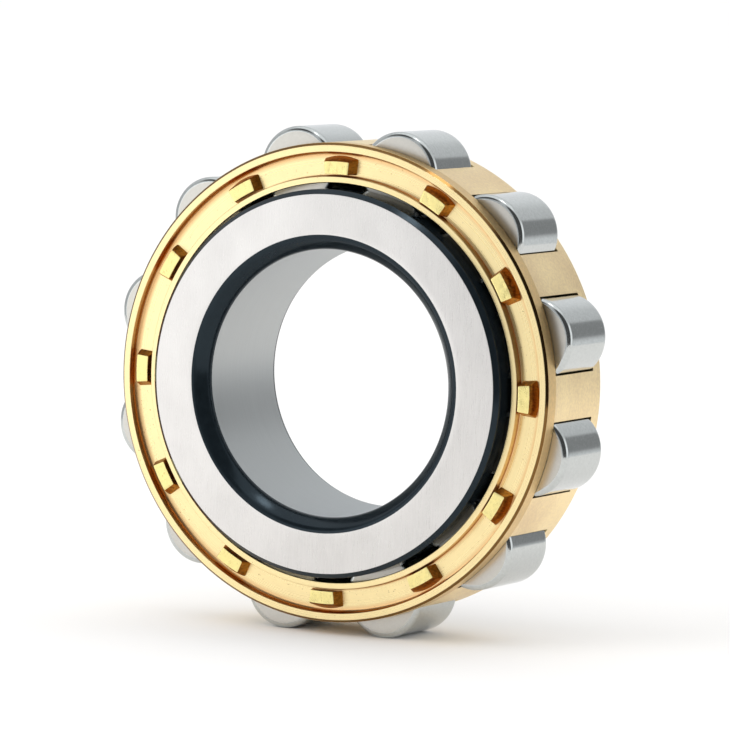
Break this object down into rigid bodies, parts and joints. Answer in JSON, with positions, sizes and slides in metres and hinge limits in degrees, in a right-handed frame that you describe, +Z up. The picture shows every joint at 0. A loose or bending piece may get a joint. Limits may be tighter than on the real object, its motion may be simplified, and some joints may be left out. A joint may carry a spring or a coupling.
{
  "type": "cylindrical roller bearing",
  "caption": "Cylindrical roller bearing without an outer ring: a double-ribbed steel inner ring, a row of steel rollers and a riveted two-piece machined brass cage.",
  "frame": {"origin": "centre of the bearing, on its axis and midway between the inner ring's faces", "axes": "+Y along the bearing's axis, away from the riveted cage cover, which looks towards -Y; +Z up through a cage bar, so that the bearing stands on two rollers; +X to the right as seen from the cover's side"},
  "size_m": [0.0662, 0.021, 0.0662],
  "materials": {
    "ring_steel": "ground satin",
    "roller_steel": "fine ground",
    "cage_brass": "turned satin",
    "cover_brass": "turned satin"
  },
  "bodies": {
    "inner_ring": {"inner_ring": "ring_steel"},
    "cage": {"cage_body": "cage_brass", "cage_cover": "cover_brass"},
    "roller_01": {"roller_01": "roller_steel"},
    "roller_02": {"roller_02": "roller_steel"},
    "roller_03": {"roller_03": "roller_steel"},
    "roller_04": {"roller_04": "roller_steel"},
    "roller_05": {"roller_05": "roller_steel"},
    "roller_06": {"roller_06": "roller_steel"},
    "roller_07": {"roller_07": "roller_steel"},
    "roller_08": {"roller_08": "roller_steel"},
    "roller_09": {"roller_09": "roller_steel"},
    "roller_10": {"roller_10": "roller_steel"},
    "roller_11": {"roller_11": "roller_steel"},
    "roller_12": {"roller_12": "roller_steel"}
  },
  "joints": [
    {"name": "cage_spin", "type": "hinge", "parent": "inner_ring", "child": "cage", "pos_m": [0, 0, 0], "axis": [0, 1, 0], "continuous": true},
    {"name": "roller_01_spin", "type": "hinge", "parent": "cage", "child": "roller_01", "pos_m": [0.02764, 0, 0.00741], "axis": [0, 1, 0], "continuous": true},
    {"name": "roller_02_spin", "type": "hinge", "parent": "cage", "child": "roller_02", "pos_m": [0.02024, 0, 0.02024], "axis": [0, 1, 0], "continuous": true},
    {"name": "roller_03_spin", "type": "hinge", "parent": "cage", "child": "roller_03", "pos_m": [0.00741, 0, 0.02764], "axis": [0, 1, 0], "continuous": true},
    {"name": "roller_04_spin", "type": "hinge", "parent": "cage", "child": "roller_04", "pos_m": [-0.00741, 0, 0.02764], "axis": [0, 1, 0], "continuous": true},
    {"name": "roller_05_spin", "type": "hinge", "parent": "cage", "child": "roller_05", "pos_m": [-0.02024, 0, 0.02024], "axis": [0, 1, 0], "continuous": true},
    {"name": "roller_06_spin", "type": "hinge", "parent": "cage", "child": "roller_06", "pos_m": [-0.02764, 0, 0.00741], "axis": [0, 1, 0], "continuous": true},
    {"name": "roller_07_spin", "type": "hinge", "parent": "cage", "child": "roller_07", "pos_m": [-0.02764, 0, -0.00741], "axis": [0, 1, 0], "continuous": true},
    {"name": "roller_08_spin", "type": "hinge", "parent": "cage", "child": "roller_08", "pos_m": [-0.02024, 0, -0.02024], "axis": [0, 1, 0], "continuous": true},
    {"name": "roller_09_spin", "type": "hinge", "parent": "cage", "child": "roller_09", "pos_m": [-0.00741, 0, -0.02764], "axis": [0, 1, 0], "continuous": true},
    {"name": "roller_10_spin", "type": "hinge", "parent": "cage", "child": "roller_10", "pos_m": [0.00741, 0, -0.02764], "axis": [0, 1, 0], "continuous": true},
    {"name": "roller_11_spin", "type": "hinge", "parent": "cage", "child": "roller_11", "pos_m": [0.02024, 0, -0.02024], "axis": [0, 1, 0], "continuous": true},
    {"name": "roller_12_spin", "type": "hinge", "parent": "cage", "child": "roller_12", "pos_m": [0.02764, 0, -0.00741], "axis": [0, 1, 0], "continuous": true}
  ],
  "couplings": [
    {"joint": "roller_01_spin", "follows": "cage_spin", "ratio": 4.2},
    {"joint": "roller_02_spin", "follows": "cage_spin", "ratio": 4.2},
    {"joint": "roller_03_spin", "follows": "cage_spin", "ratio": 4.2},
    {"joint": "roller_04_spin", "follows": "cage_spin", "ratio": 4.2},
    {"joint": "roller_05_spin", "follows": "cage_spin", "ratio": 4.2},
    {"joint": "roller_06_spin", "follows": "cage_spin", "ratio": 4.2},
    {"joint": "roller_07_spin", "follows": "cage_spin", "ratio": 4.2},
    {"joint": "roller_08_spin", "follows": "cage_spin", "ratio": 4.2},
    {"joint": "roller_09_spin", "follows": "cage_spin", "ratio": 4.2},
    {"joint": "roller_10_spin", "follows": "cage_spin", "ratio": 4.2},
    {"joint": "roller_11_spin", "follows": "cage_spin", "ratio": 4.2},
    {"joint": "roller_12_spin", "follows": "cage_spin", "ratio": 4.2}
  ]
}
